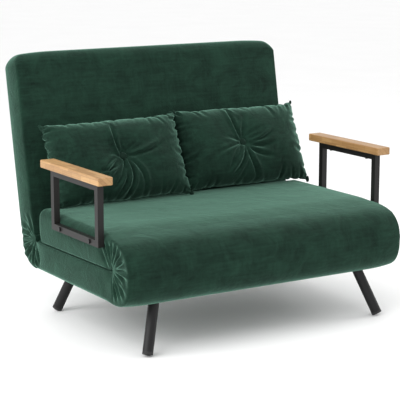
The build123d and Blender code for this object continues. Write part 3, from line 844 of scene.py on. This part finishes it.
def pillow_shape(rng, button_x):
    """Points, faces and rim of an upright button-tufted pillow about its own middle."""
    across, upward = (np.sin(np.linspace(-1, 1, lines) * math.pi / 2) for lines in (ACROSS_LINES, UP_LINES))
    gx, gz = [g.ravel() for g in np.meshgrid(across, upward, indexing="ij")]
    x = gx * (PILLOW_WIDE / 2 - PILLOW_EARS * (1 - gz**4))
    z = gz * (PILLOW_HIGH / 2 - END_EARS * PILLOW_EARS * (1 - gx**4))
    front, side_draw, end_draw = pillow_sheet(gx, gz, x, z, button_x, rng)
    rear = pillow_sheet(gx, gz, x, z, button_x, rng)[0]

    # Both sheets share the seam, which the front's folds draw in
    drawn_x = x - np.sign(x) * side_draw * np.abs(gx) ** 12
    drawn_z = z - np.sign(z) * end_draw * np.abs(gz) ** 12
    points = np.concatenate([np.stack([drawn_x, y, drawn_z], -1) for y in (-front, rear)])
    return close_sheets(points, gx, gz)


def close_sheets(points, gx, gz):
    """Joins a pillow's two sheets at the rim. Gives the points in use, the faces and the rim in order."""
    count = len(gx)
    number = np.arange(count).reshape(ACROSS_LINES, UP_LINES)
    quads = np.stack([number[:-1, :-1], number[1:, :-1], number[1:, 1:], number[:-1, 1:]], -1).reshape(-1, 4)
    on_rim = (np.abs(gx) > 1 - 1e-9) | (np.abs(gz) > 1 - 1e-9)
    rear = np.where(on_rim, np.arange(count), np.arange(count) + count)
    used, faces = np.unique(np.concatenate([quads, rear[quads]]), return_inverse=True)
    loop = np.concatenate([number[:-1, 0], number[-1, :-1], number[:0:-1, -1], number[0, :0:-1]])
    return points[used], faces.reshape(-1, 4), np.searchsorted(used, loop)


def plump(obj, held_points):
    """Swells a closed mesh by a cloth simulation under inner pressure and keeps the last frame."""
    rest = np.array([v.co for v in obj.data.vertices])
    held = obj.vertex_groups.new(name="held")
    held.add([int(i) for i in held_points], 1.0, "REPLACE")
    cloth = obj.modifiers.new("cloth", "CLOTH")
    settings = cloth.settings
    settings.quality = 5
    settings.mass = 0.3
    settings.tension_stiffness = settings.compression_stiffness = 15
    settings.shear_stiffness = 5
    settings.bending_stiffness = 0.1
    settings.use_pressure = True
    settings.uniform_pressure_force = FILL_PRESSURE
    settings.vertex_group_mass = "held"
    settings.effector_weights.gravity = 0
    cloth.collision_settings.use_collision = False
    cloth.point_cache.frame_end = FILL_FRAMES
    scene = bpy.context.scene
    for number in range(1, FILL_FRAMES + 1):
        scene.frame_set(number)
    apply_modifiers(obj)
    scene.frame_set(1)
    move = np.array([v.co for v in obj.data.vertices]) - rest
    length = np.maximum(np.linalg.norm(move, axis=1), 1e-9)
    points = rest + move * (np.minimum(length, FILL_CAP) / length)[:, None]
    obj.data.vertices.foreach_set("co", points.ravel())
    obj.data.update()


def settle(points):
    """Flattens a placed pillow where it rests on the seat and leans on the backrest."""
    x, y, z = points.T
    z = np.maximum(z, SEAT_HIGH + CROWN + SEAT_GAP)
    depth = (y - REAR_Y) * math.cos(LEAN) - (z - REAR_Z) * math.sin(LEAN)
    over = np.maximum(depth - (BACK_SET - BACK_GAP), 0)
    return np.stack([x, y - over * math.cos(LEAN), z + over * math.sin(LEAN)], -1)


def tube(name, line, radius, fabric):
    """A closed round cord along a line of points."""
    curve = bpy.data.curves.new(name, "CURVE")
    curve.dimensions = "3D"
    curve.bevel_depth = radius
    curve.bevel_resolution = 2
    spline = curve.splines.new("POLY")
    spline.points.add(len(line) - 1)
    spline.points.foreach_set("co", np.column_stack([line, np.ones(len(line))]).ravel())
    spline.use_cyclic_u = True
    curve.materials.append(fabric)
    return new_object(name, curve)


def lathe(outline, turns):
    """Points and faces of a closed solid turned about Y from (radius, y) pairs. Its ends are on the axis."""
    angles = np.linspace(0, 2 * math.pi, turns, endpoint=False)
    rings = [[(r * math.cos(a), y, r * math.sin(a)) for a in angles] for r, y in outline[1:-1]]
    points = [(0, outline[0][1], 0)] + [p for ring in rings for p in ring] + [(0, outline[-1][1], 0)]
    last, last_ring = len(points) - 1, 1 + (len(rings) - 1) * turns
    faces = []
    for i in range(turns):
        k = (i + 1) % turns
        faces.append((0, 1 + i, 1 + k))
        for low in range(1, last_ring, turns):
            high = low + turns
            faces.append((low + i, high + i, high + k, low + k))
        faces.append((last_ring + i, last, last_ring + k))
    return points, faces


def smooth_mesh(name, points, faces, fabric):
    """A smooth mesh object with its material, from faces that already point outward."""
    mesh = bpy.data.meshes.new(name)
    mesh.from_pydata(points, [], faces)
    mesh.polygons.foreach_set("use_smooth", [True] * len(mesh.polygons))
    mesh.materials.append(fabric)
    return new_object(name, mesh)


def button_mesh(name, place, fabric):
    """Two domed covered buttons and the thread between them."""
    half = [(share * BUTTON_R, -BUTTON_DEPTH - high * BUTTON_DOME) for share, high in DOME]
    half += [(radius, -BUTTON_DEPTH + behind) for radius, behind in DOME_BACK]
    outline = half + [(radius, -y) for radius, y in reversed(half)]
    made = smooth_mesh(name, *lathe(outline, BUTTON_TURNS), fabric)
    made.data.transform(place)
    return made


def tuft_mesh(name, corners, fabric):
    """Small dark knots at the two ends of a pillow's right-hand seam."""
    rng = np.random.default_rng(KNOT_SEED)
    knot, quads = lathe(KNOT, KNOT_TURNS)
    points, faces = [], []
    for corner, size in zip(corners, KNOT_SIZES):
        faces += [tuple(i + len(points) for i in quad) for quad in quads]
        rough = np.array(knot) * size * rng.uniform(0.85, 1.15, (len(knot), 1))
        points += (rough + corner).tolist()
    return smooth_mesh(name, points, faces, fabric)


def make_pillow(side, fabric, dark):
    """One pillow with its seam's cord, its tied buttons and its two small dark knots."""
    name = f"{side}_pillow"
    button_x = BUTTON_X[side]
    points, faces, rim = pillow_shape(np.random.default_rng(SEEDS[side]), button_x)
    obj = mesh_object(f"{name}_cushion", points, faces)
    plump(obj, np.flatnonzero(np.hypot(points[:, 0] - button_x, points[:, 2]) < BUTTON_R))
    turned = Matrix.Rotation(PILLOW_TURN, 4, "Z") @ Matrix.Rotation(PILLOW_TILT[side], 4, "Y")
    place = Matrix.Translation(PILLOWS[side]) @ Matrix.Rotation(-PILLOW_LEAN, 4, "X") @ turned
    obj.data.transform(place)
    placed = settle(np.array([v.co for v in obj.data.vertices]))
    obj.data.vertices.foreach_set("co", placed.ravel())
    subdivide(obj)
    obj.data.materials.append(fabric)
    ends = placed[rim]
    seam = tube(f"{name}_seam", ends, SEAM_R, fabric)
    buttons = button_mesh(f"{name}_button_pair", place @ Matrix.Translation((button_x, 0, 0)), dark)
    right = ends[ends[:, 0] > PILLOWS[side][0] + RIGHT_SEAM]
    tufts = tuft_mesh(f"{name}_tufts", (right[right[:, 2].argmin()], right[right[:, 2].argmax()]), dark)
    for piece, slot in ((obj, "pillow_velvet"), (seam, "pillow_velvet"), (buttons, "button_velvet"),
                        (tufts, "button_velvet")):
        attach(piece, name)
    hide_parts(f"{name}_cover", f"{name}_filling")
    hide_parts(f"{name}_buttons")


# ---------------------------------------------------------------- stage
CAM_AZ, CAM_EL = math.radians(-31.89), math.radians(11.23)
CAM_PLACE = (-2.7366, -4.3973, 1.4275)
CAM_LENS, CAM_SENSOR = 130.37, 36

# Square lights: place, what they point at, size and watts
LIGHTS = {
    "key": ((-3.2, -1.2, 3.0), (0, 0, 0.4), 2.4, 72),
    "top": ((0.3, 0.4, 3.6), (0, 0, 0.4), 2.6, 18),
    "left": ((-3.3, 0.3, 1.5), (0, 0.3, 0.5), 1.6, 34),
    "right": ((3.1, -0.5, 1.5), (0, 0.1, 0.5), 1.4, 24),
}
FLOOR_FAR = 30
FLOOR_GREYS = (0.96, 0.98)


def make_camera():
    """The photo's camera."""
    data = bpy.data.cameras.new("camera")
    data.lens = CAM_LENS
    data.sensor_width = CAM_SENSOR
    camera = new_object("camera", data)
    camera.location = CAM_PLACE
    camera.rotation_euler = (math.pi / 2 - CAM_EL, 0, CAM_AZ)
    bpy.context.scene.camera = camera


def area_light(name, place, target, size, watts):
    """A white square light that points at target."""
    data = bpy.data.lights.new(name, "AREA")
    data.size = size
    data.energy = watts
    lamp = new_object(name, data)
    lamp.location = place
    lamp.rotation_euler = (Vector(target) - Vector(place)).to_track_quat("-Z", "Y").to_euler()


def floor_paint():
    """Nearly white, with faint clouds."""
    made, tree, shader = new_material("floor")
    cloud = noise(tree, EVENLY, Scale=2.0)
    low, high = [(grey, grey, grey) for grey in FLOOR_GREYS]
    join(tree, shader, {"Base Color": ramp(tree, cloud, (0.3, low), (0.7, high)), "Roughness": 0.7})
    return made


def make_stage():
    """A pale floor, a white surround and four soft lights."""
    world = bpy.data.worlds.new("studio")
    world.use_nodes = True
    background = world.node_tree.nodes["Background"]
    join(world.node_tree, background, {"Color": (1, 1, 1, 1), "Strength": 1.0})
    bpy.context.scene.world = world
    bpy.context.scene.view_settings.view_transform = "Standard"
    for name, light in LIGHTS.items():
        area_light(name, *light)
    corners = [(x * FLOOR_FAR, y * FLOOR_FAR, 0) for x, y in ((-1, -1), (1, -1), (1, 1), (-1, 1))]
    mesh = bpy.data.meshes.new("floor")
    mesh.from_pydata(corners, [], [(0, 1, 2, 3)])
    mesh.materials.append(floor_paint())
    new_object("floor", mesh)


def main():
    make_camera()
    make_stage()
    materials = make_materials()
    repaint_nodes(materials)
    make_padding(materials["velvet"])
    for side in PILLOWS:
        make_pillow(side, materials["pillow_velvet"], materials["button_velvet"])
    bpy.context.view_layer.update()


main()
